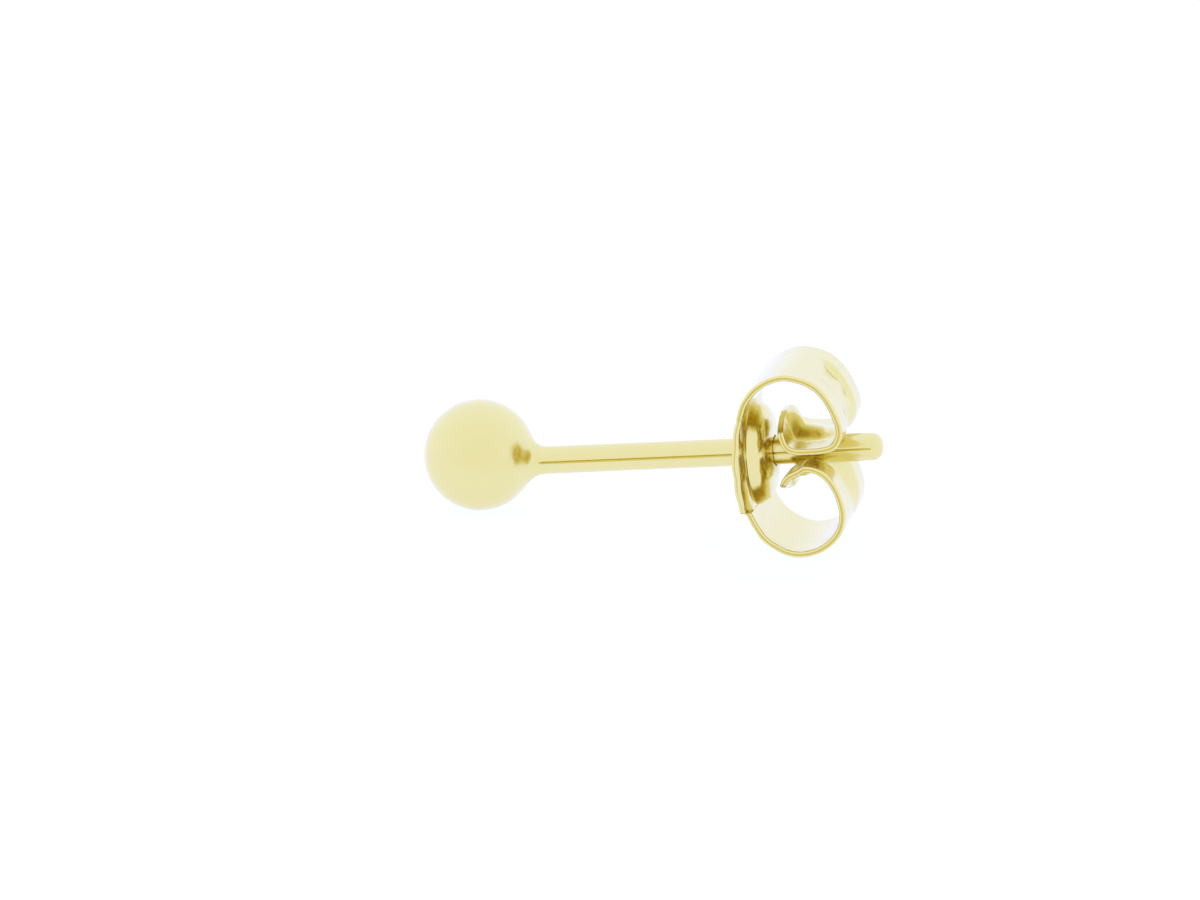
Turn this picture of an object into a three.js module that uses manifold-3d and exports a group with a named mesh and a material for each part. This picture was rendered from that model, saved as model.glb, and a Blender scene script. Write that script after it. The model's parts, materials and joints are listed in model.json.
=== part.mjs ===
// A ball stud earring of polished yellow gold, lying on a flat surface with its butterfly clutch on.
// Two solids: the ball with its soldered post, and the clutch, which is one bent strip of sheet.
// Each is first made along the post: X runs from the ball's middle to the post's tip, Y runs along
// the axis of the clutch's scrolls and Z is up, with the post's own axis at Y = 0 and Z = 0.
// The whole earring is then tipped, because it rests on the ball and on the lower scroll.
import * as THREE from "three";
import { mergeVertices } from "three/addons/utils/BufferGeometryUtils.js";
import Module from "manifold-3d";

// Ball and post, in millimetres
const BALL_DIAMETER = 3.0;
const POST_DIAMETER = 0.75;
const POST_LENGTH = 9.5; // from the back of the ball to the tip
const POST_DROP = 0.23; // the post is soldered this far below the ball's middle
const SOLDER = 0.4; // how far the fillet reaches over the ball and along the post
const TIP_ROUNDING = 0.3;

// Clutch, in millimetres
const SHEET = 0.17; // thickness of the strip
const CLUTCH_PLACE = 5.75; // from the back of the ball to the plate's rim
const PLATE_DIAMETER = 4.0;
const RIM_TURN = 0.15; // its rim is turned this far towards the ball
const RIM_WIDTH = 0.44; // of that turned rim
const ARM_WIDTH = 3.0;
const END_LENGTH = 0.55; // the arms begin to narrow this far before their round free ends
const END_WIDTH = 0.9; // of an arm at its very end
const SCROLL_DEPTH = 3.0; // from the plate's rim to the back of the scrolls
const UPPER_REACH = 2.47; // from the post's axis to the top of the upper scroll
const LOWER_REACH = 2.58; // from the post's axis to the bottom of the lower scroll
const UPPER_RIM = 0.25; // from the post's axis to the upper scroll's rims where it grips
const LOWER_RIM = 0.06; // and to the lower scroll's
const CHANNEL_WIDTH = 1.5; // of the pressed groove that the post lies in
const DOME_BASE = 2.76; // across the drawn middle of the plate
const DOME_LIP = 1.08; // across its flat end, which the hole goes through
const DOME_DEPTH = 0.51; // how far it is drawn back
const HOLE_CLEARANCE = 0.05; // round the post, in the plate
const GRIP_CLEARANCE = 0.025; // between the post and each scroll's groove

// How finely the round forms are divided
const STUD_SIDES = 48;
const BALL_STEPS = 22;
const FILLET_STEPS = 6;
const ROUNDING_STEPS = 5;
const HOLE_SIDES = 32;
const STRIP_STEP = 0.24; // between two sections of the strip
const ACROSS = [0, 0.1, 0.2, 0.34, 0.5, 0.78, 1]; // sections' points, as shares of the half width

const GOLD = { color: 0xe9dd8b, metalness: 1, roughness: 0.08 };

const ballRadius = BALL_DIAMETER / 2;
const postRadius = POST_DIAMETER / 2;
const tipAt = ballRadius + POST_LENGTH;
const plateRadius = PLATE_DIAMETER / 2;
const armHalf = ARM_WIDTH / 2;
const faceAt = ballRadius + CLUTCH_PLACE;
const plateAt = faceAt + RIM_TURN;
const plateEdge = Math.sqrt(plateRadius ** 2 - armHalf ** 2); // height at which the arms leave the disc

// The scrolls' outlines, from the plate to the free end. behind is a share of the scrolls' depth,
// out is a share of the way from the grip's rims to the scroll's reach, and channel is a share of
// the groove's full depth.
const UPPER_SCROLL = [
  { behind: 0.105, out: 0.67, channel: 0 },
  { behind: 0.21, out: 0.84, channel: 0 },
  { behind: 0.35, out: 0.955, channel: 0 },
  { behind: 0.51, out: 1, channel: 0 },
  { behind: 0.67, out: 0.95, channel: 0.15 },
  { behind: 0.8, out: 0.85, channel: 0.5 },
  { behind: 0.895, out: 0.685, channel: 0.8 },
  { behind: 0.96, out: 0.49, channel: 1 },
  { behind: 0.995, out: 0.29, channel: 1 },
  { behind: 0.97, out: 0.145, channel: 1 },
  { behind: 0.905, out: 0.045, channel: 1 },
  { behind: 0.77, out: 0.002, channel: 1 },
  { behind: 0.6, out: 0, channel: 1 },
  { behind: 0.53, out: 0.012, channel: 1 },
  { behind: 0.478, out: 0.045, channel: 1 },
  { behind: 0.443, out: 0.1, channel: 0.95 },
  { behind: 0.425, out: 0.165, channel: 0.85 },
  { behind: 0.412, out: 0.24, channel: 0.7 },
  { behind: 0.402, out: 0.31, channel: 0.5 },
  { behind: 0.392, out: 0.375, channel: 0.35 },
  { behind: 0.383, out: 0.428, channel: 0.2 },
];
const LOWER_SCROLL = [
  { behind: 0.12, out: 0.687, channel: 0 },
  { behind: 0.18, out: 0.8, channel: 0 },
  { behind: 0.285, out: 0.905, channel: 0 },
  { behind: 0.395, out: 0.975, channel: 0 },
  { behind: 0.52, out: 1, channel: 0 },
  { behind: 0.67, out: 0.968, channel: 0 },
  { behind: 0.8, out: 0.885, channel: 0 },
  { behind: 0.9, out: 0.758, channel: 0.1 },
  { behind: 0.95, out: 0.583, channel: 0.3 },
  { behind: 0.943, out: 0.43, channel: 0.6 },
  { behind: 0.903, out: 0.26, channel: 0.9 },
  { behind: 0.825, out: 0.11, channel: 1 },
  { behind: 0.73, out: 0.028, channel: 1 },
  { behind: 0.615, out: 0, channel: 1 },
  { behind: 0.545, out: 0.04, channel: 1 },
  { behind: 0.505, out: 0.06, channel: 1 },
  { behind: 0.465, out: 0.083, channel: 1 },
  { behind: 0.431, out: 0.115, channel: 0.95 },
  { behind: 0.405, out: 0.15, channel: 0.85 },
  { behind: 0.387, out: 0.195, channel: 0.7 },
  { behind: 0.379, out: 0.24, channel: 0.5 },
  { behind: 0.382, out: 0.29, channel: 0.3 },
  { behind: 0.397, out: 0.34, channel: 0.15 },
];

// The drawn middle's profile, from the plate to its flat end. rise is a share of its depth and out a
// share of the way from the flat end's edge to the base.
const DOME = [
  { rise: 0, out: 1 },
  { rise: 0.29, out: 0.88 },
  { rise: 0.55, out: 0.69 },
  { rise: 0.76, out: 0.39 },
  { rise: 0.9, out: 0.13 },
  { rise: 1, out: 0 },
];

const wasm = await Module();
wasm.setup();

// A closed geometry as a solid that can be joined and cut.
function solidOf(geometry) {
  const bare = geometry.clone();
  bare.deleteAttribute("normal");
  bare.deleteAttribute("uv");
  const merged = mergeVertices(bare, 1e-5);
  return new wasm.Manifold(
    new wasm.Mesh({
      numProp: 3,
      vertProperties: merged.attributes.position.array,
      triVerts: merged.index.array,
    }),
  );
}

// A solid as a geometry again.
function geometryOf(solid) {
  const mesh = solid.getMesh();
  const geometry = new THREE.BufferGeometry();
  geometry.setAttribute("position", new THREE.BufferAttribute(mesh.vertProperties, 3));
  geometry.setIndex(new THREE.BufferAttribute(mesh.triVerts, 1));
  geometry.computeVertexNormals();
  return geometry;
}

function goldMesh(name, geometry) {
  const mesh = new THREE.Mesh(geometry, new THREE.MeshStandardMaterial(GOLD));
  mesh.name = name;
  return mesh;
}

// How far a point is outside the ball and the post, with the solder between them blended in.
// out and turn place the point round the post's axis.
function outside(along, out, turn) {
  const side = out * Math.sin(turn);
  const up = out * Math.cos(turn) - POST_DROP;
  const fromBall = Math.hypot(along, side, up) - ballRadius;
  const fromPost = Math.max(out - postRadius, -along); // it starts at the ball's middle
  const shared = Math.max(0, SOLDER - Math.abs(fromBall - fromPost)) / SOLDER;
  return Math.min(fromBall, fromPost) - (shared ** 2 * SOLDER) / 4;
}

// The stud's surface where a ray from a point of the post's axis leaves it, found by halving.
function surfacePoint(start, slope, turn) {
  let near = 0;
  let far = BALL_DIAMETER;
  for (let i = 0; i < 40; i++) {
    const middle = (near + far) / 2;
    const along = start + middle * Math.cos(slope);
    if (outside(along, middle * Math.sin(slope), turn) < 0) near = middle;
    else far = middle;
  }
  return { along: start + near * Math.cos(slope), out: near * Math.sin(slope) };
}

// The rays that give the stud's rings: a fan over the ball, then square to the post over the solder.
function studRays() {
  const squareFrom = ballRadius - SOLDER;
  const topThere = POST_DROP + Math.sqrt(ballRadius ** 2 - squareFrom ** 2);
  const fanEnd = Math.atan2(topThere, squareFrom);
  const rays = [];
  for (let i = 1; i <= BALL_STEPS; i++) {
    rays.push({ start: 0, slope: Math.PI - (i / BALL_STEPS) * (Math.PI - fanEnd) });
  }
  for (let i = 1; i <= FILLET_STEPS; i++) {
    const start = squareFrom + (2 * SOLDER * i) / FILLET_STEPS;
    rays.push({ start, slope: Math.PI / 2 });
  }
  return rays;
}

// One line of points over the stud from the ball's front to the post's tip, at a turn round the axis.
function studLine(turn) {
  const line = studRays().map(({ start, slope }) => surfacePoint(start, slope, turn));
  for (let i = 0; i < ROUNDING_STEPS; i++) {
    const angle = (i / ROUNDING_STEPS) * (Math.PI / 2);
    const inset = TIP_ROUNDING * (1 - Math.cos(angle));
    const ahead = TIP_ROUNDING * (1 - Math.sin(angle));
    line.push({ along: tipAt - ahead, out: postRadius - inset });
  }
  line.push({ along: tipAt, out: postRadius - TIP_ROUNDING });
  return line;
}

// The ball, its solder and the post as one closed shell, whose ends are points on the post's axis.
function ballPost() {
  const lines = [];
  for (let i = 0; i < STUD_SIDES; i++) lines.push(studLine((2 * Math.PI * i) / STUD_SIDES));
  const positions = [-Math.sqrt(ballRadius ** 2 - POST_DROP ** 2), 0, 0, tipAt, 0, 0];
  lines.forEach((line, i) => {
    const turn = (2 * Math.PI * i) / STUD_SIDES;
    line.forEach(({ along, out }) => positions.push(along, out * Math.sin(turn), out * Math.cos(turn)));
  });
  const rings = lines[0].length;
  const index = [];
  for (let i = 0; i < STUD_SIDES; i++) {
    const here = 2 + i * rings;
    const next = 2 + ((i + 1) % STUD_SIDES) * rings;
    index.push(0, here, next, 1, next + rings - 1, here + rings - 1);
    for (let k = 0; k + 1 < rings; k++) {
      index.push(here + k, here + k + 1, next + k + 1, here + k, next + k + 1, next + k);
    }
  }
  const geometry = new THREE.BufferGeometry();
  geometry.setAttribute("position", new THREE.Float32BufferAttribute(positions, 3));
  geometry.setIndex(index);
  geometry.computeVertexNormals();
  return goldMesh("ball_post", geometry);
}

// One scroll as a curve from the plate to the free end: x along the post, z up, and y the depth of
// the groove there. side is 1 for the upper scroll and -1 for the lower one.
function scrollCurve(rows, reach, rim, side) {
  const depth = postRadius + GRIP_CLEARANCE - rim;
  const points = rows.map(
    ({ behind, out, channel }) =>
      new THREE.Vector3(
        faceAt + behind * SCROLL_DEPTH,
        channel * depth,
        side * (rim + out * (reach - rim)),
      ),
  );
  points.unshift(new THREE.Vector3(plateAt, 0, side * plateEdge));
  return new THREE.CatmullRomCurve3(points);
}

// The plate's outline from its lower edge to its upper edge.
function plateOutline() {
  const steps = 2 * Math.ceil(plateEdge / STRIP_STEP);
  const points = [];
  for (let i = 1; i < steps; i++) {
    points.push(new THREE.Vector3(plateAt, 0, plateEdge * ((2 * i) / steps - 1)));
  }
  return points;
}

// The outer face of the whole strip, from the lower free end by way of the plate to the upper one.
function stripOutline() {
  const upper = scrollCurve(UPPER_SCROLL, UPPER_REACH, UPPER_RIM, 1);
  const lower = scrollCurve(LOWER_SCROLL, LOWER_REACH, LOWER_RIM, -1);
  const steps = (curve) => Math.ceil(curve.getLength() / STRIP_STEP);
  return [
    ...lower.getSpacedPoints(steps(lower)).reverse(),
    ...plateOutline(),
    ...upper.getSpacedPoints(steps(upper)),
  ];
}

function isOnPlate(point) {
  return point.x < plateAt + 1e-6 && Math.abs(point.z) < plateEdge - 1e-6;
}

// Half the strip's width on the plate, or at a distance along an arm from its free end.
function halfWidth(point, fromEnd) {
  if (isOnPlate(point)) return Math.sqrt(plateRadius ** 2 - point.z ** 2);
  const share = Math.sin((Math.PI / 2) * Math.min(1, fromEnd / END_LENGTH));
  return END_WIDTH / 2 + (armHalf - END_WIDTH / 2) * share;
}

// The strip as a closed shell: a ring of points for each section, joined to the next, with two ends.
function stripGeometry() {
  const outline = stripOutline();
  const along = [0];
  outline.slice(1).forEach((point, i) => {
    along.push(along[i] + Math.hypot(point.x - outline[i].x, point.z - outline[i].z));
  });
  const length = along[along.length - 1];
  const shares = [...ACROSS.slice(1).reverse().map((share) => -share), ...ACROSS];
  const channelHalf = CHANNEL_WIDTH / 2;
  const positions = [];
  outline.forEach((point, i) => {
    const before = outline[Math.max(0, i - 1)];
    const after = outline[Math.min(outline.length - 1, i + 1)];
    const run = Math.hypot(after.x - before.x, after.z - before.z);
    const inward = { x: (after.z - before.z) / run, z: -(after.x - before.x) / run };
    const half = halfWidth(point, Math.min(along[i], length - along[i]));
    const ring = (face, order) =>
      order.forEach((share) => {
        const y = share * half;
        const groove = point.y * Math.max(0, 1 - (y / channelHalf) ** 2) ** 2;
        const intoRim = Math.max(0, Math.hypot(y, point.z) - plateRadius + RIM_WIDTH) / RIM_WIDTH;
        const press = groove + face - (isOnPlate(point) ? RIM_TURN * intoRim ** 2 : 0);
        positions.push(point.x + inward.x * press, y, point.z + inward.z * press);
      });
    ring(0, shares);
    ring(SHEET, [...shares].reverse());
  });
  return shellGeometry(positions, outline.length, 2 * shares.length);
}

// Rings of points joined into a closed shell. Each ring goes over one face and back over the other,
// so a ring's points pair up across the sheet.
function shellGeometry(positions, rings, size) {
  const index = [];
  const quad = (a, b, c, d) => index.push(a, b, c, a, c, d);
  for (let ring = 0; ring + 1 < rings; ring++) {
    for (let k = 0; k < size; k++) {
      const next = (k + 1) % size;
      const here = ring * size;
      const there = here + size;
      quad(here + k, there + k, there + next, here + next);
    }
  }
  const last = (rings - 1) * size;
  for (let k = 0; k + 1 < size / 2; k++) {
    const across = size - 1 - k;
    quad(k, k + 1, across - 1, across);
    quad(last + k, last + across, last + across - 1, last + k + 1);
  }
  const geometry = new THREE.BufferGeometry();
  geometry.setAttribute("position", new THREE.Float32BufferAttribute(positions, 3));
  geometry.setIndex(index);
  return geometry;
}

// A solid of revolution about the post's axis, from its radii at places along the post.
function turned(profile) {
  const first = profile[0];
  const last = profile[profile.length - 1];
  const points = [{ along: first.along, out: 0 }, ...profile, { along: last.along, out: 0 }];
  const lathe = new THREE.LatheGeometry(
    points.map(({ along, out }) => new THREE.Vector2(out, along)),
    HOLE_SIDES,
  );
  return solidOf(lathe.rotateZ(-Math.PI / 2));
}

// The drawn middle's profile with its first ring at a place along the post.
function domeProfile(from) {
  const lip = DOME_LIP / 2;
  return DOME.map(({ rise, out }) => ({
    along: from + rise * DOME_DEPTH,
    out: lip + out * (DOME_BASE / 2 - lip),
  }));
}

// The bent strip, with the plate's middle drawn back to lead the post into the hole.
function butterflyClutch() {
  const holeRadius = postRadius + HOLE_CLEARANCE;
  const back = domeProfile(plateAt + SHEET);
  const front = domeProfile(plateAt);
  const dome = turned([{ along: plateAt + SHEET / 2, out: back[0].out }, ...back]);
  const bore = turned([
    { along: faceAt - SHEET, out: front[0].out },
    ...front,
    { along: plateAt + DOME_DEPTH, out: holeRadius },
    { along: plateAt + DOME_DEPTH + 2 * SHEET, out: holeRadius },
  ]);
  return goldMesh("butterfly_clutch", geometryOf(solidOf(stripGeometry()).add(dome).subtract(bore)));
}

// How far the earring tips to rest on the ball and on the lower scroll: the steepest of the lines
// that touch the ball from below and pass through a point of the clutch's outline.
function restTilt() {
  const angles = stripOutline().map((point) => {
    const drop = POST_DROP - point.z;
    return Math.acos(ballRadius / Math.hypot(point.x, drop)) - Math.atan2(point.x, drop);
  });
  return Math.max(...angles);
}

const lying = new THREE.Group();
lying.add(ballPost(), butterflyClutch());
lying.rotation.y = -restTilt();

const earring = new THREE.Group();
earring.add(lying);
earring.updateMatrixWorld(true);
const box = new THREE.Box3().setFromObject(earring, true);
const middle = box.getCenter(new THREE.Vector3());
lying.position.set(-middle.x, -middle.y, -box.min.z);

export default earring;
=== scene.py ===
"""A ball stud earring of polished yellow gold, lying on a white surface with its butterfly clutch on.

Everything is made along the post first, in millimetres: x runs from the ball's middle to the post's
tip, y along the axis of the clutch's scrolls and z up, with the post's own axis at y = 0 and z = 0.
along_post() then turns it into the frame's place, in metres.
"""

import json
import math

import bpy
from bpy.props import FloatProperty, PointerProperty, StringProperty
from mathutils import Matrix, Vector


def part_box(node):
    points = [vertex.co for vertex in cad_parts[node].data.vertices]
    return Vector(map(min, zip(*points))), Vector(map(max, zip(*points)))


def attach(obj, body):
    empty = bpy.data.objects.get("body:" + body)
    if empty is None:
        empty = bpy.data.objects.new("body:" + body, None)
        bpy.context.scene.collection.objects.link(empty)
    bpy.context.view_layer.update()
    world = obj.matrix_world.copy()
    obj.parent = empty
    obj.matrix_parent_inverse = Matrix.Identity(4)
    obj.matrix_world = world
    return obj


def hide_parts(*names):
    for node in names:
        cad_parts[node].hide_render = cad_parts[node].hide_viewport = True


bl_info = {
    "name": "Ball stud earring",
    "version": (1, 0, 0),
    "blender": (4, 5, 0),
    "location": "3D View > Sidebar > Earring",
    "description": "Dresses the packed ball stud earring in polished gold",
    "category": "Object",
}

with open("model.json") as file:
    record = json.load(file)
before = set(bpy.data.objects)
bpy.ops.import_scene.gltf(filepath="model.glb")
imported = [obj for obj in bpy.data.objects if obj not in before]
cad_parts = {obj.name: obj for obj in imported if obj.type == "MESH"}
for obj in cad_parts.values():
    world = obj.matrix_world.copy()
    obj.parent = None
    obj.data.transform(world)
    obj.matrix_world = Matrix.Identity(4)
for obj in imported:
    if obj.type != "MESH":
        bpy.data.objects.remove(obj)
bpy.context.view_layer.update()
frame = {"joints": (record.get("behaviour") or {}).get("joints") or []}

MM = 0.001

# The photograph's frame, in pixels, and where the ball's middle stands in it
PHOTO_WIDTH = 1200
PHOTO_HEIGHT = 900
BALL_PIXEL = (479.8, 454.6)
PIXELS_PER_MM = 37.3

# How finely the stud is meshed: sides all round, and steps along each stretch of its outline
STUD_SIDES = 192
BALL_STEPS = 96
SOLDER_STEPS = 28
POST_STEPS = 24
TIP_STEPS = 12
HALVINGS = 30

# How finely the clutch is meshed, with its steps along the strip and the dome in millimetres
STRIP_STEP = 0.05
ACROSS_STEPS = 64
EDGE_STEPS = 6
DOME_STEP = 0.02
DOME_SIDES = 160
CURVE_STEPS = 40

# Less than this counts as nothing, in millimetres
HAIR = 1e-6

# Edges sharper than this are shown sharp, in degrees
STUD_SHARP = 25
CLUTCH_SHARP = 40

# The seam begins this far behind the ball and ends this far before the tip, and it fades over this
# length at both ends, in millimetres
SEAM_BEHIND_BALL = 0.12
SEAM_BEFORE_TIP = 0.25
SEAM_FADE = 0.1

# The upper scroll's groove begins as a flat facet. Each of its two creases takes this share of its
# half width, and it turns from round to flat above this height over this length, in millimetres.
CREASE = 0.22
FACET_FROM = 0.9
FACET_OVER = 0.5

# How many faint ribs the press leaves round the plate's rim
RIBS = 15

# The part of the noise's range that the haze uses, and the shares of the roughness that it gives
HAZE_RANGE = (0.3, 0.7)
HAZE_SHARES = (0.8, 1.3)

# The polished hollows of the scrolls send light back and forth many times
LIGHT_BOUNCES = 32

# How much of the lit floor's look comes from its own matt surface
FLOOR_MATT = 0.12

# The camera sees nothing nearer than this, in metres
CLIP_START = 0.01

# The scrolls' outlines, from the plate to the free end. behind is a share of the scrolls' depth, and
# out a share of the way from the grip's rims to the scroll's reach. channel is the groove's depth, as
# a share of what the post needs.
UPPER_SCROLL = (
    {"behind": 0.105, "out": 0.67, "channel": 0},
    {"behind": 0.21, "out": 0.84, "channel": 0},
    {"behind": 0.35, "out": 0.955, "channel": 0},
    {"behind": 0.51, "out": 1, "channel": 0},
    {"behind": 0.67, "out": 0.95, "channel": 0},
    {"behind": 0.725, "out": 0.917, "channel": 0.05},
    {"behind": 0.8, "out": 0.85, "channel": 0.75},
    {"behind": 0.855, "out": 0.77, "channel": 0.95},
    {"behind": 0.91, "out": 0.65, "channel": 0.6},
    {"behind": 0.96, "out": 0.49, "channel": 0.8},
    {"behind": 0.995, "out": 0.29, "channel": 1},
    {"behind": 0.97, "out": 0.145, "channel": 1},
    {"behind": 0.905, "out": 0.045, "channel": 1},
    {"behind": 0.77, "out": 0.002, "channel": 1},
    {"behind": 0.68, "out": 0, "channel": 1.6},
    {"behind": 0.6, "out": 0, "channel": 1.9},
    {"behind": 0.53, "out": 0.012, "channel": 2},
    {"behind": 0.478, "out": 0.045, "channel": 2},
    {"behind": 0.443, "out": 0.1, "channel": 2},
    {"behind": 0.425, "out": 0.165, "channel": 1.9},
    {"behind": 0.412, "out": 0.24, "channel": 1.7},
    {"behind": 0.402, "out": 0.31, "channel": 1.3},
    {"behind": 0.392, "out": 0.375, "channel": 0.8},
    {"behind": 0.383, "out": 0.428, "channel": 0.2},
)
LOWER_SCROLL = (
    {"behind": 0.12, "out": 0.687, "channel": 0},
    {"behind": 0.18, "out": 0.8, "channel": 0},
    {"behind": 0.285, "out": 0.905, "channel": 0},
    {"behind": 0.395, "out": 0.975, "channel": 0},
    {"behind": 0.52, "out": 1, "channel": 0},
    {"behind": 0.67, "out": 0.968, "channel": 0},
    {"behind": 0.8, "out": 0.885, "channel": 0},
    {"behind": 0.9, "out": 0.758, "channel": 0.1},
    {"behind": 0.95, "out": 0.583, "channel": 0.3},
    {"behind": 0.943, "out": 0.43, "channel": 0.6},
    {"behind": 0.903, "out": 0.26, "channel": 0.9},
    {"behind": 0.825, "out": 0.11, "channel": 1},
    {"behind": 0.73, "out": 0.028, "channel": 1},
    {"behind": 0.615, "out": 0, "channel": 1},
    {"behind": 0.545, "out": 0.04, "channel": 1},
    {"behind": 0.505, "out": 0.06, "channel": 1},
    {"behind": 0.465, "out": 0.083, "channel": 1},
    {"behind": 0.431, "out": 0.115, "channel": 0.95},
    {"behind": 0.405, "out": 0.15, "channel": 0.85},
    {"behind": 0.387, "out": 0.195, "channel": 0.7},
    {"behind": 0.379, "out": 0.24, "channel": 0.5},
    {"behind": 0.382, "out": 0.29, "channel": 0.3},
    {"behind": 0.397, "out": 0.34, "channel": 0.15},
)

# The drawn middle's profile, from the plate to its flat end. rise is a share of its depth and out a
# share of the way from the flat end's edge to the base.
DOME = (
    {"rise": 0, "out": 1},
    {"rise": 0.32, "out": 0.95},
    {"rise": 0.6, "out": 0.84},
    {"rise": 0.82, "out": 0.62},
    {"rise": 0.95, "out": 0.3},
    {"rise": 1, "out": 0},
)

# The soft bend round the dome's base, as millimetres from the plate and a share of the bend's width
DOME_BEND = ((-0.012, 1), (0.006, 0.55))


def length(name, description, size_mm):
    """A property that holds a length of the earring, shown in Blender's own unit."""
    return FloatProperty(
        name=name, description=description, default=size_mm * MM, unit="LENGTH", precision=5
    )


def angle(name, description, degrees):
    """A property that holds an angle, in radians, which Blender shows in degrees."""
    return FloatProperty(
        name=name, description=description, default=math.radians(degrees), subtype="ANGLE"
    )


def share(name, description, default):
    """A property that holds a share from 0 to 1."""
    return FloatProperty(
        name=name, description=description, default=default, min=0, max=1, subtype="FACTOR"
    )


def colour(name, description, hex_text):
    """A property that holds a colour as sRGB hex."""
    return StringProperty(name=name, description=description + ", sRGB hex", default=hex_text)


class StudSizes(bpy.types.PropertyGroup):
    """Sizes of the ball, its solder and the post"""

    ball_diameter: length("Ball", "Across the ball", 3.0)
    post_diameter: length("Post", "Across the post", 0.75)
    post_length: length("Post length", "From the ball's back to the tip", 9.5)
    post_drop: length("Post drop", "The post is soldered this far below the ball's middle", 0.23)
    solder: length("Solder", "How far the fillet reaches over the ball and the post", 0.4)
    tip_rounding: length("Tip rounding", "Radius of the post's rounded tip", 0.3)
    seam_width: length("Seam width", "Across the fine seam along the post", 0.075)
    seam_depth: length("Seam depth", "Depth of the fine seam along the post", 0.06)
    seam_turn: angle("Seam turn", "Where the seam is round the post, from the top", -85.4)


class ClutchSizes(bpy.types.PropertyGroup):
    """Sizes of the butterfly clutch"""

    sheet: length("Sheet", "Thickness of the bent strip", 0.17)
    place: length("Place", "From the ball's back to the plate's rim", 5.75)
    plate_diameter: length("Plate", "Across the plate", 4.0)
    rim_turn: length("Rim turn", "The plate's rim is turned this far towards the ball", 0.15)
    rim_width: length("Rim width", "Width of that turned rim", 0.44)
    rib_height: length("Rib height", "Of the faint ribs that the press leaves on the rim", 0.012)
    arm_width: length("Arm width", "Across each arm", 3.0)
    end_length: length("End length", "The arms narrow over this length at their free ends", 0.45)
    end_width: length("End width", "Across an arm at its very end", 1.05)
    skew_length: length("Skew length", "The upper arm's far side narrows over this length", 1.25)
    skew_width: length("Skew width", "From the middle to the upper arm's far side at its end", 0.1)
    scroll_depth: length("Scroll depth", "From the plate's rim to the scrolls' back", 3.0)
    upper_reach: length("Upper reach", "From the post's axis to the upper scroll's top", 2.47)
    lower_reach: length("Lower reach", "From the post's axis to the lower scroll's bottom", 2.58)
    upper_rim: length("Upper rim", "From the post's axis to the upper scroll's rims", 0.25)
    lower_rim: length("Lower rim", "From the post's axis to the lower scroll's rims", 0.06)
    channel_width: length("Channel", "Across the groove that the post lies in", 1.5)
    dome_base: length("Dome", "Across the drawn middle of the plate", 2.76)
    dome_lip: length("Lip", "Across its flat end, which the hole goes through", 1.08)
    dome_depth: length("Dome depth", "How far it is drawn back", 0.51)
    dome_bend: length("Dome bend", "Width of the soft bend round it", 0.1)
    hole_clearance: length("Hole clearance", "Round the post in the plate", 0.05)
    grip_clearance: length("Grip clearance", "Between the post and each groove", 0.025)
    edge_rounding: length("Edge rounding", "Radius of the tumbled edges of the sheet", 0.055)
    shear_depth: length("Shear line", "Depth of the line that shearing leaves in the edge", 0.035)


class GoldFinish(bpy.types.PropertyGroup):
    """Colour and polish of the gold"""

    gold_hex: colour("Gold", "Colour of 14-carat yellow gold", "EADD93")
    haze: length("Haze", "Size of the patches of polishing haze", 0.35)
    stud_roughness: share("Stud roughness", "Roughness of the buffed ball and post", 0.2)
    stud_waves: length("Stud waves", "Size of the soft waves that the buff leaves there", 0.9)
    stud_relief: length("Stud relief", "Height of those waves", 0.0006)
    clutch_roughness: share("Clutch roughness", "Roughness of the tumbled sheet", 0.19)
    clutch_waves: length("Clutch waves", "Size of the soft waves that pressing leaves there", 0.5)
    clutch_relief: length("Clutch relief", "Height of those waves", 0.0012)


class StageSettings(bpy.types.PropertyGroup):
    """The camera, the floor and the light"""

    azimuth: angle("Azimuth", "Of the camera, from the front towards the post's tip", 10.53)
    elevation: angle("Elevation", "Of the camera, above the floor", 17.1)
    roll: angle("Roll", "Of the camera", 2.7)
    distance: length("Distance", "From the camera to the earring", 300)
    sensor: length("Sensor", "Width of the camera's sensor", 36)
    floor_side: length("Floor", "Side of the square floor", 1200)
    floor_hex: colour("Floor", "Colour of the floor's matt surface", "F9F9F9")
    floor_light_height: length("Light height", "The floor's light turns as seen from this height", 4)
    front_hex: colour("Front light", "Colour of the light in front", "E1E6FF")
    front_level: FloatProperty(name="Front level", description="Its strength", default=1.33)
    behind_hex: colour("Back light", "Colour of the light behind", "CBD3FF")
    behind_level: FloatProperty(name="Back level", description="Its strength", default=1.75)


def lengths(group):
    """A group's lengths in millimetres, by their names."""
    kinds = group.bl_rna.properties
    names = [name for name in group.__annotations__ if kinds[name].unit == "LENGTH"]
    return {name: getattr(group, name) / MM for name in names}


def linear(hex_text):
    """An sRGB hex colour as linear red, green, blue and alpha."""
    shares = [int(hex_text[i : i + 2], 16) / 255 for i in (0, 2, 4)]
    return [s / 12.92 if s <= 0.04045 else ((s + 0.055) / 1.055) ** 2.4 for s in shares] + [1.0]


def node(tree, kind, links=None, **settings):
    """Adds a node. links says what feeds its inputs. A setting is one of the node's own or the value
    of an input, whose name has _ for each space."""
    made = tree.nodes.new(kind)
    for name, value in settings.items():
        if hasattr(made, name):
            setattr(made, name, value)
        else:
            made.inputs[name.replace("_", " ")].default_value = value
    for name, source in (links or {}).items():
        tree.links.new(source, made.inputs[name])
    return made


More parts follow.
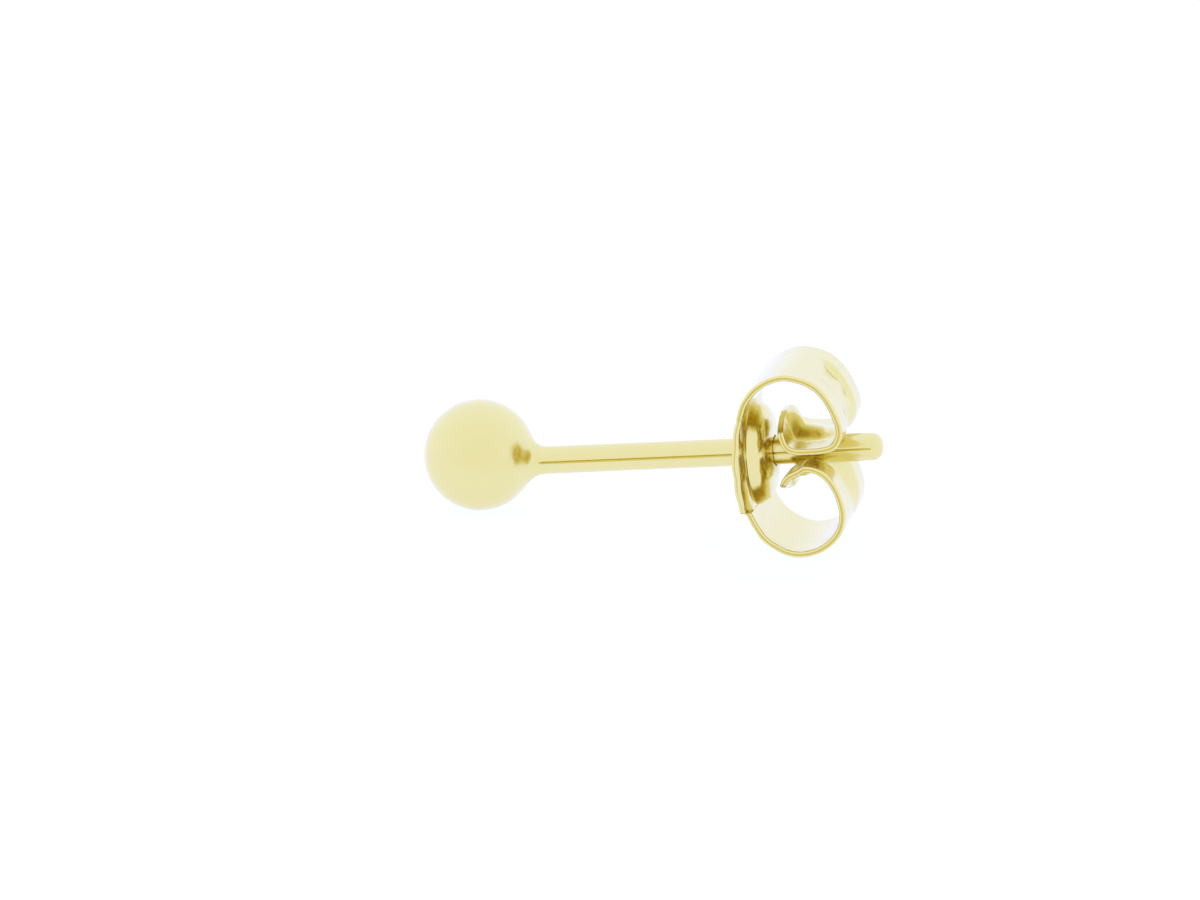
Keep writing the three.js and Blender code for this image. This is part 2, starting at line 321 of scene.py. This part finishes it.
def polished_gold(name, roughness, waves, relief):
    """14-carat yellow gold, tumbled and then polished on a buff. The eye sees a soft mirror with a
    faint haze, no scratch in it, and reflections that swim a little over soft waves. A real haze is
    finer than the render can show, so it is drawn coarser."""
    finish = bpy.context.scene.gold_finish
    material = bpy.data.materials.new(name)
    material.use_nodes = True
    tree = material.node_tree
    tree.nodes.clear()
    place = node(tree, "ShaderNodeTexCoord").outputs["Object"]
    haze = node(tree, "ShaderNodeTexNoise", {"Vector": place}, Scale=1 / finish.haze, Detail=3)
    rough = node(
        tree,
        "ShaderNodeMapRange",
        {"Value": haze.outputs["Fac"]},
        From_Min=HAZE_RANGE[0],
        From_Max=HAZE_RANGE[1],
        To_Min=roughness * HAZE_SHARES[0],
        To_Max=roughness * HAZE_SHARES[1],
    )
    swell = node(tree, "ShaderNodeTexNoise", {"Vector": place}, Scale=1 / waves, Detail=2)
    bump = node(
        tree, "ShaderNodeBump", {"Height": swell.outputs["Fac"]}, Strength=1, Distance=relief
    )
    shader = node(
        tree,
        "ShaderNodeBsdfPrincipled",
        {"Roughness": rough.outputs["Result"], "Normal": bump.outputs["Normal"]},
        Base_Color=linear(finish.gold_hex),
        Metallic=1,
    )
    node(tree, "ShaderNodeOutputMaterial", {"Surface": shader.outputs["BSDF"]})
    return material


def along_post():
    """The matrix that takes millimetres along the post to metres in the frame."""
    sizes = bpy.context.scene.stud_sizes
    axis = Vector(frame["joints"][0]["axis"]).normalized()
    across = Vector((0, 1, 0))
    up = axis.cross(across)
    low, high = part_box("ball_post")
    radius = sizes.ball_diameter / 2
    ball = Vector((low.x + radius, (low.y + high.y) / 2, radius))
    start = ball - up * sizes.post_drop
    turn = Matrix((axis, across, up)).transposed().to_4x4()
    return Matrix.Translation(start) @ turn @ Matrix.Scale(MM, 4)


def solid(name, points, faces):
    """A closed mesh object from points along the post, in millimetres."""
    mesh = bpy.data.meshes.new(name)
    place = along_post()
    mesh.from_pydata([place @ Vector(p) for p in points], [], faces)
    made = bpy.data.objects.new(name, mesh)
    bpy.context.scene.collection.objects.link(made)
    return made


def smooth(mesh, sharp_degrees):
    """Shades a mesh smooth, but for its sharp edges."""
    mesh.polygons.foreach_set("use_smooth", [True] * len(mesh.polygons))
    mesh.set_sharp_from_angle(angle=math.radians(sharp_degrees))


def dress(made, material, body, replaced):
    """Gives a solid its material and lets it ride on a body in place of a CAD node."""
    made.data.validate()
    made.data.materials.append(material)
    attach(made, body)
    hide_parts(replaced)


def faces_round(sides, rings):
    """The faces of a solid made of two end points and then, side by side, lines of rings points."""
    faces = []
    for i in range(sides):
        here, beside = 2 + i * rings, 2 + (i + 1) % sides * rings
        faces.append((0, here, beside))
        faces.append((1, beside + rings - 1, here + rings - 1))
        faces += [(here + k, here + k + 1, beside + k + 1, beside + k) for k in range(rings - 1)]
    return faces


def outside(sizes, along, out, turn):
    """How far a point is outside the ball and the post, with the solder between them blended in."""
    side = out * math.sin(turn)
    up = out * math.cos(turn) - sizes["post_drop"]
    from_ball = math.sqrt(along**2 + side**2 + up**2) - sizes["ball_radius"]
    from_post = max(out - sizes["post_radius"], -along)
    shared = max(0, sizes["solder"] - abs(from_ball - from_post)) / sizes["solder"]
    return min(from_ball, from_post) - shared**2 * sizes["solder"] / 4


def surface_point(sizes, start, slope, turn):
    """Where a ray from a point of the post's axis leaves the stud, found by halving."""
    near, far = 0, 2 * sizes["ball_radius"]
    for _ in range(HALVINGS):
        middle = (near + far) / 2
        if outside(sizes, start + middle * math.cos(slope), middle * math.sin(slope), turn) < 0:
            near = middle
        else:
            far = middle
    return start + near * math.cos(slope), near * math.sin(slope)


def stud_line(sizes, turn):
    """A line of points over the stud from the ball's front to the tip: a fan of rays over the ball,
    rays square to the post over the solder, then the post's side and its rounded tip."""
    radius, post = sizes["ball_radius"], sizes["post_radius"]
    square_from = radius - sizes["solder"]
    top_there = sizes["post_drop"] + math.sqrt(radius**2 - square_from**2)
    fan_end = math.atan2(top_there, square_from)
    line = [
        surface_point(sizes, 0, math.pi - i / BALL_STEPS * (math.pi - fan_end), turn)
        for i in range(1, BALL_STEPS + 1)
    ]
    line += [
        surface_point(sizes, square_from + 2 * sizes["solder"] * i / SOLDER_STEPS, math.pi / 2, turn)
        for i in range(1, SOLDER_STEPS + 1)
    ]
    rounding = sizes["tip_rounding"]
    straight_from, straight_to = radius + sizes["solder"], sizes["tip"] - rounding
    for i in range(1, POST_STEPS):
        line.append((straight_from + (straight_to - straight_from) * i / POST_STEPS, post))
    for i in range(TIP_STEPS):
        bend = i / TIP_STEPS * math.pi / 2
        along = sizes["tip"] - rounding * (1 - math.sin(bend))
        line.append((along, post - rounding * (1 - math.cos(bend))))
    line.append((sizes["tip"], post - rounding))
    return line


def within(value):
    """A value kept between 0 and 1."""
    return min(1, max(0, value))


def seam_depth(sizes, along, turn_from_seam):
    """Depth of the fine seam at a place along the post, fading out over the solder and at the tip."""
    aside = turn_from_seam * sizes["post_radius"] / (sizes["seam_width"] / 2)
    past_start = (along - sizes["ball_radius"] - SEAM_BEHIND_BALL) / SEAM_FADE
    before_end = (sizes["tip"] - SEAM_BEFORE_TIP - along) / SEAM_FADE
    fade = within(past_start) * within(before_end)
    return sizes["seam_depth"] * max(0, 1 - aside) * fade


def build_stud():
    """The ball, its solder and the post as one solid."""
    group = bpy.context.scene.stud_sizes
    sizes = lengths(group)
    sizes["ball_radius"] = sizes["ball_diameter"] / 2
    sizes["post_radius"] = sizes["post_diameter"] / 2
    sizes["tip"] = sizes["ball_radius"] + sizes["post_length"]
    front = -math.sqrt(sizes["ball_radius"] ** 2 - sizes["post_drop"] ** 2)
    points = [(front, 0, 0), (sizes["tip"], 0, 0)]
    for i in range(STUD_SIDES):
        turn = group.seam_turn + 2 * math.pi * i / STUD_SIDES
        from_seam = min(i, STUD_SIDES - i) * 2 * math.pi / STUD_SIDES
        for along, out in stud_line(sizes, turn):
            out -= seam_depth(sizes, along, from_seam)
            points.append((along, out * math.sin(turn), out * math.cos(turn)))
    rings = (len(points) - 2) // STUD_SIDES
    return solid("stud", points, faces_round(STUD_SIDES, rings))


def clutch_sizes():
    """The clutch's sizes in millimetres, with those that follow from them."""
    sizes = lengths(bpy.context.scene.clutch_sizes)
    stud = lengths(bpy.context.scene.stud_sizes)
    sizes["post_radius"] = stud["post_diameter"] / 2
    sizes["face_at"] = stud["ball_diameter"] / 2 + sizes["place"]
    sizes["plate_at"] = sizes["face_at"] + sizes["rim_turn"]
    sizes["plate_radius"] = sizes["plate_diameter"] / 2
    sizes["arm_half"] = sizes["arm_width"] / 2
    sizes["plate_edge"] = math.sqrt(sizes["plate_radius"] ** 2 - sizes["arm_half"] ** 2)
    return sizes


def smooth_curve(rows):
    """A centripetal Catmull-Rom curve through rows of three numbers, as many short steps."""
    rows = [Vector(r) for r in rows]
    rows = [2 * rows[0] - rows[1], *rows, 2 * rows[-1] - rows[-2]]
    made = []
    for a, b, c, d in zip(rows, rows[1:], rows[2:], rows[3:]):
        knots = [0.0]
        for p, q in ((a, b), (b, c), (c, d)):
            knots.append(knots[-1] + (q - p).length ** 0.5)
        for i in range(CURVE_STEPS):
            t = knots[1] + (knots[2] - knots[1]) * i / CURVE_STEPS
            ab = a.lerp(b, (t - knots[0]) / (knots[1] - knots[0]))
            bc = b.lerp(c, (t - knots[1]) / (knots[2] - knots[1]))
            cd = c.lerp(d, (t - knots[2]) / (knots[3] - knots[2]))
            abc = ab.lerp(bc, (t - knots[0]) / (knots[2] - knots[0]))
            bcd = bc.lerp(cd, (t - knots[1]) / (knots[3] - knots[1]))
            made.append(abc.lerp(bcd, (t - knots[1]) / (knots[2] - knots[1])))
    made.append(rows[-2])
    return made


def spaced(points, step):
    """Points at even steps along a line of points."""
    along = [0.0]
    for p, q in zip(points, points[1:]):
        along.append(along[-1] + (q - p).length)
    steps = math.ceil(along[-1] / step)
    made = []
    k = 0
    for i in range(steps + 1):
        wanted = along[-1] * i / steps
        while k + 2 < len(along) and along[k + 1] < wanted:
            k += 1
        between = (wanted - along[k]) / (along[k + 1] - along[k])
        made.append(points[k].lerp(points[k + 1], between))
    return made


def scroll_line(sizes, rows, reach, rim, side):
    """One scroll from the plate to its free end: x along the post, z up, and y the groove's depth."""
    depth = sizes["post_radius"] + sizes["grip_clearance"] - rim
    points = [Vector((sizes["plate_at"], 0, side * sizes["plate_edge"]))]
    for row in rows:
        along = sizes["face_at"] + row["behind"] * sizes["scroll_depth"]
        height = rim + row["out"] * (reach - rim)
        points.append(Vector((along, row["channel"] * depth, side * height)))
    return spaced(smooth_curve(points), STRIP_STEP)


def plate_line(sizes):
    """The plate from its lower edge to its upper edge."""
    edge = sizes["plate_edge"]
    steps = 2 * math.ceil(edge / STRIP_STEP)
    return [Vector((sizes["plate_at"], 0, edge * (2 * i / steps - 1))) for i in range(1, steps)]


def strip_line(sizes):
    """The strip's outer face from the lower free end, by way of the plate, to the upper free end."""
    upper = scroll_line(sizes, UPPER_SCROLL, sizes["upper_reach"], sizes["upper_rim"], 1)
    lower = scroll_line(sizes, LOWER_SCROLL, sizes["lower_reach"], sizes["lower_rim"], -1)
    return [*reversed(lower), *plate_line(sizes), *upper]


def on_plate(sizes, point):
    """Whether a point of the strip's line is on the plate and not on an arm."""
    return point.x < sizes["plate_at"] + HAIR and abs(point.z) < sizes["plate_edge"] - HAIR


def rim_press(sizes, y, height):
    """How far the plate's rim is turned towards the ball there. The turn fades out up the plate."""
    from_edge = sizes["plate_radius"] - math.hypot(y, height)
    into_rim = max(0, sizes["rim_width"] - from_edge) / sizes["rim_width"]
    fade = 1 - max(0, height / sizes["plate_edge"]) ** 2
    rib = math.sin(RIBS * math.atan2(height, y)) * sizes["rib_height"]
    return sizes["rim_turn"] * into_rim**2 * fade + rib * into_rim


def side_widths(sizes, point, from_lower_end, from_upper_end):
    """How far the strip reaches to the near and the far side of the post's axis."""
    if on_plate(sizes, point):
        half = math.sqrt(sizes["plate_radius"] ** 2 - point.z**2)
        return half, half
    full, end, skew = sizes["arm_half"], sizes["end_width"] / 2, sizes["skew_width"]
    near = end + (full - end) * rounded(min(from_lower_end, from_upper_end) / sizes["end_length"])
    skewed = skew + (full - skew) * rounded(from_upper_end / sizes["skew_length"])
    return near, min(near, skewed)


def rounded(way):
    """A quarter of a round as a curve from 0 to 1."""
    return math.sin(math.pi / 2 * min(1, way))


def groove_share(sizes, y, height):
    """The groove's depth across the strip as a share. It is round where the post lies in it, and
    flat with two creases where it starts on the outside of the upper scroll."""
    aside = min(1, abs(y) / (sizes["channel_width"] / 2))
    bump = (1 - aside**2) ** 2
    facet = min(1, (1 - aside) / CREASE)
    flatness = within((height - FACET_FROM) / FACET_OVER)
    return bump + (facet - bump) * flatness


def edge_profile(sizes):
    """The sheet's edge as (how far out, depth below the outer face). Between its rounded corners runs
    the fine line that shearing leaves."""
    sheet, rounding = sizes["sheet"], sizes["edge_rounding"]
    bends = [i / EDGE_STEPS * math.pi / 2 for i in range(EDGE_STEPS + 1)]
    corner = [(rounding * math.sin(bend), rounding - rounding * math.cos(bend)) for bend in bends]
    line = (rounding - sizes["shear_depth"], sheet / 2)
    return [*corner, line, *((out, sheet - depth) for out, depth in reversed(corner))]


def section(sizes, near, far):
    """The strip's closed section as (y, depth below the outer face)."""
    sheet, rounding = sizes["sheet"], sizes["edge_rounding"]
    low, high = rounding - near, far - rounding
    edge = edge_profile(sizes)
    across = [low + (high - low) * i / ACROSS_STEPS for i in range(1, ACROSS_STEPS)]
    made = [(y, 0) for y in across]
    made += [(high + out, depth) for out, depth in edge]
    made += [(y, sheet) for y in reversed(across)]
    made += [(low - out, sheet - depth) for out, depth in edge]
    return made


def build_clutch():
    """The clutch's bent strip as a solid, without its dome and its hole."""
    sizes = clutch_sizes()
    line = strip_line(sizes)
    along = [0.0]
    for p, q in zip(line, line[1:]):
        along.append(along[-1] + math.hypot(q.x - p.x, q.z - p.z))
    points, faces = [], []
    for i, point in enumerate(line):
        before, after = line[max(0, i - 1)], line[min(len(line) - 1, i + 1)]
        inward = Vector((after.z - before.z, 0, before.x - after.x)).normalized()
        near, far = side_widths(sizes, point, along[i], along[-1] - along[i])
        ring = section(sizes, near, far)
        for y, depth in ring:
            groove = point.y * groove_share(sizes, y, point.z)
            press = groove + depth
            if on_plate(sizes, point):
                press -= rim_press(sizes, y, point.z)
            points.append((point.x + inward.x * press, y, point.z + inward.z * press))
    size = len(ring)
    for i in range(len(line) - 1):
        here, there = i * size, (i + 1) * size
        for k in range(size):
            beside = (k + 1) % size
            faces.append((here + k, there + k, there + beside, here + beside))
    last = (len(line) - 1) * size
    faces.append(tuple(range(size)))
    faces.append(tuple(last + k for k in reversed(range(size))))
    return solid("clutch", points, faces)


class MakeStud(bpy.types.Operator):
    """Makes the ball with its soldered post"""

    bl_idname = "earring.make_stud"
    bl_label = "Make the stud"

    def execute(self, context):
        finish = context.scene.gold_finish
        gold = polished_gold(
            "Stud_gold_14ct_polished", finish.stud_roughness, finish.stud_waves, finish.stud_relief
        )
        stud = build_stud()
        dress(stud, gold, "stud", "ball_post")
        smooth(stud.data, STUD_SHARP)
        return {"FINISHED"}


class MakeClutch(bpy.types.Operator):
    """Makes the butterfly clutch from one bent strip, with its hole"""

    bl_idname = "earring.make_clutch"
    bl_label = "Make the clutch"

    def execute(self, context):
        finish = context.scene.gold_finish
        gold = polished_gold(
            "Clutch_gold_14ct_pressed",
            finish.clutch_roughness,
            finish.clutch_waves,
            finish.clutch_relief,
        )
        clutch = build_clutch()
        dress(clutch, gold, "clutch", "butterfly_clutch")
        draw_plate(context, clutch)
        smooth(clutch.data, CLUTCH_SHARP)
        return {"FINISHED"}


def dome_profile(sizes, start):
    """The drawn middle's profile as (place along the post, radius), with a soft bend at its base."""
    lip, base = sizes["dome_lip"] / 2, sizes["dome_base"] / 2
    rows = [(start + place, base + width * sizes["dome_bend"], 0) for place, width in DOME_BEND]
    for row in DOME[1:]:
        rows.append((start + row["rise"] * sizes["dome_depth"], lip + row["out"] * (base - lip), 0))
    return [(point.x, point.y) for point in spaced(smooth_curve(rows), DOME_STEP)]


def turned(name, profile):
    """A solid turned round the post's axis from a profile."""
    points = [(profile[0][0], 0, 0), (profile[-1][0], 0, 0)]
    for i in range(DOME_SIDES):
        turn = 2 * math.pi * i / DOME_SIDES
        points += [(along, out * math.sin(turn), out * math.cos(turn)) for along, out in profile]
    return solid(name, points, faces_round(DOME_SIDES, len(profile)))


def combine(context, clutch, tool, operation):
    """Joins a tool's solid to the clutch or cuts it away, and drops the tool."""
    step = clutch.modifiers.new(operation, "BOOLEAN")
    step.operation = operation
    step.solver = "EXACT"
    step.object = tool
    graph = context.evaluated_depsgraph_get()
    clutch.data = bpy.data.meshes.new_from_object(clutch.evaluated_get(graph))
    clutch.modifiers.clear()
    if not clutch.data.polygons:
        raise RuntimeError(f"Nothing is left of the clutch after {operation}")
    bpy.data.objects.remove(tool)


def draw_plate(context, clutch):
    """Draws the plate's middle back to a dome with the hole for the post in its flat end."""
    sizes = clutch_sizes()
    sheet, hole = sizes["sheet"], sizes["post_radius"] + sizes["hole_clearance"]
    back = dome_profile(sizes, sizes["plate_at"] + sheet)
    front = dome_profile(sizes, sizes["plate_at"])
    end = front[-1][0]
    dome = [(back[0][0] - sheet / 2, back[0][1]), *back]
    bore = [(sizes["face_at"] - sheet, front[0][1]), *front, (end, hole), (end + 2 * sheet, hole)]
    combine(context, clutch, turned("dome", dome), "UNION")
    combine(context, clutch, turned("bore", bore), "DIFFERENCE")


class MakeStage(bpy.types.Operator):
    """Makes the white surface, the soft light and the camera"""

    bl_idname = "earring.make_stage"
    bl_label = "Make the stage"

    def execute(self, context):
        make_floor(context)
        make_world(context)
        make_camera(context)
        context.scene.view_settings.view_transform = "Standard"
        context.scene.cycles.max_bounces = LIGHT_BOUNCES
        context.scene.cycles.glossy_bounces = LIGHT_BOUNCES
        return {"FINISHED"}


def camera_back(stage):
    """The direction from the earring to the camera."""
    turn = Vector((math.sin(stage.azimuth), -math.cos(stage.azimuth), 0))
    return turn * math.cos(stage.elevation) + Vector((0, 0, math.sin(stage.elevation)))


def light_colour(stage, tree, facing):
    """Cool white light in front that turns cooler and brighter behind. facing runs from -1 behind to 1
    in front. A mix node keeps its two colours in sockets 6 and 7 and gives them out at 2."""
    back_share = node(tree, "ShaderNodeMapRange", {"Value": facing}, From_Min=1, From_Max=-1)
    mixed = node(tree, "ShaderNodeMix", {"Factor": back_share.outputs["Result"]}, data_type="RGBA")
    for socket, level, hex_text in (
        (6, stage.front_level, stage.front_hex),
        (7, stage.behind_level, stage.behind_hex),
    ):
        mixed.inputs[socket].default_value = [level * part for part in linear(hex_text)[:3]] + [1]
    return mixed.outputs[2]


def make_floor(context):
    """A cast sheet of opal acrylic lit from below, so that hardly any shadow shows on it."""
    stage = context.scene.stage_settings
    half = stage.floor_side / 2
    corners = [(-half, -half, 0), (half, -half, 0), (half, half, 0), (-half, half, 0)]
    mesh = bpy.data.meshes.new("floor")
    mesh.from_pydata(corners, [], [(0, 1, 2, 3)])
    material = bpy.data.materials.new("Floor_opal_acrylic_lit_from_below")
    material.use_nodes = True
    tree = material.node_tree
    tree.nodes.clear()
    place = node(tree, "ShaderNodeTexCoord").outputs["Object"]
    below = node(tree, "ShaderNodeVectorMath", {0: place}, operation="ADD")
    below.inputs[1].default_value = (0, 0, -stage.floor_light_height)
    toward = node(tree, "ShaderNodeVectorMath", {0: below.outputs[0]}, operation="NORMALIZE")
    facing = node(tree, "ShaderNodeVectorMath", {0: toward.outputs[0]}, operation="DOT_PRODUCT")
    facing.inputs[1].default_value = camera_back(stage)
    light = light_colour(stage, tree, facing.outputs["Value"])
    glow = node(tree, "ShaderNodeEmission", {"Color": light}, Strength=1)
    matt = node(tree, "ShaderNodeBsdfDiffuse", Color=linear(stage.floor_hex))
    mixed = node(
        tree, "ShaderNodeMixShader", {1: glow.outputs[0], 2: matt.outputs[0]}, Fac=FLOOR_MATT
    )
    node(tree, "ShaderNodeOutputMaterial", {"Surface": mixed.outputs[0]})
    mesh.materials.append(material)
    floor = bpy.data.objects.new("floor", mesh)
    context.scene.collection.objects.link(floor)


def make_world(context):
    """Soft light from all round, cooler and brighter from behind."""
    stage = context.scene.stage_settings
    world = bpy.data.worlds.new("Soft_light_tent")
    context.scene.world = world
    world.use_nodes = True
    tree = world.node_tree
    tree.nodes.clear()
    direction = node(tree, "ShaderNodeTexCoord").outputs["Generated"]
    facing = node(tree, "ShaderNodeVectorMath", {0: direction}, operation="DOT_PRODUCT")
    facing.inputs[1].default_value = camera_back(stage)
    light = light_colour(stage, tree, facing.outputs["Value"])
    glow = node(tree, "ShaderNodeBackground", {"Color": light}, Strength=1)
    node(tree, "ShaderNodeOutputWorld", {"Surface": glow.outputs[0]})


def make_camera(context):
    """The photograph's view: the ball's middle stands at its pixel and a millimetre has its size."""
    stage = context.scene.stage_settings
    back = camera_back(stage)
    level = Vector((math.cos(stage.azimuth), math.sin(stage.azimuth), 0))
    upright = back.cross(level)
    right = level * math.cos(stage.roll) + upright * math.sin(stage.roll)
    up = upright * math.cos(stage.roll) - level * math.sin(stage.roll)
    ball = along_post() @ Vector((0, 0, context.scene.stud_sizes.post_drop / MM))
    ahead = (PHOTO_WIDTH / 2 - BALL_PIXEL[0]) / PIXELS_PER_MM * MM
    below = (PHOTO_HEIGHT / 2 - BALL_PIXEL[1]) / PIXELS_PER_MM * MM
    middle = ball + right * ahead - up * below
    data = bpy.data.cameras.new("camera")
    data.sensor_width = stage.sensor / MM
    data.lens = data.sensor_width * stage.distance / (PHOTO_WIDTH / PIXELS_PER_MM * MM)
    data.clip_start = CLIP_START
    camera = bpy.data.objects.new("camera", data)
    context.scene.collection.objects.link(camera)
    turn = Matrix((right, up, back)).transposed().to_4x4()
    camera.matrix_world = Matrix.Translation(middle + back * stage.distance) @ turn
    context.scene.camera = camera


class EarringPanel(bpy.types.Panel):
    """Lists the steps that make the earring"""

    bl_idname = "VIEW3D_PT_earring"
    bl_label = "Ball stud earring"
    bl_space_type = "VIEW_3D"
    bl_region_type = "UI"
    bl_category = "Earring"

    def draw(self, context):
        for step in STEPS:
            self.layout.operator(step.bl_idname)
        for name in SETTINGS:
            group = getattr(context.scene, name)
            for prop in group.__annotations__:
                self.layout.prop(group, prop)


STEPS = (MakeStage, MakeStud, MakeClutch)
SETTINGS = {
    "stud_sizes": StudSizes,
    "clutch_sizes": ClutchSizes,
    "gold_finish": GoldFinish,
    "stage_settings": StageSettings,
}


def register():
    for group in SETTINGS.values():
        bpy.utils.register_class(group)
    for name, group in SETTINGS.items():
        setattr(bpy.types.Scene, name, PointerProperty(type=group))
    for step in STEPS:
        bpy.utils.register_class(step)
    bpy.utils.register_class(EarringPanel)


def unregister():
    bpy.utils.unregister_class(EarringPanel)
    for step in reversed(STEPS):
        bpy.utils.unregister_class(step)
    for name in SETTINGS:
        delattr(bpy.types.Scene, name)
    for group in SETTINGS.values():
        bpy.utils.unregister_class(group)


def main():
    register()
    bpy.ops.earring.make_stage()
    bpy.ops.earring.make_stud()
    bpy.ops.earring.make_clutch()


if __name__ == "__main__":
    main()
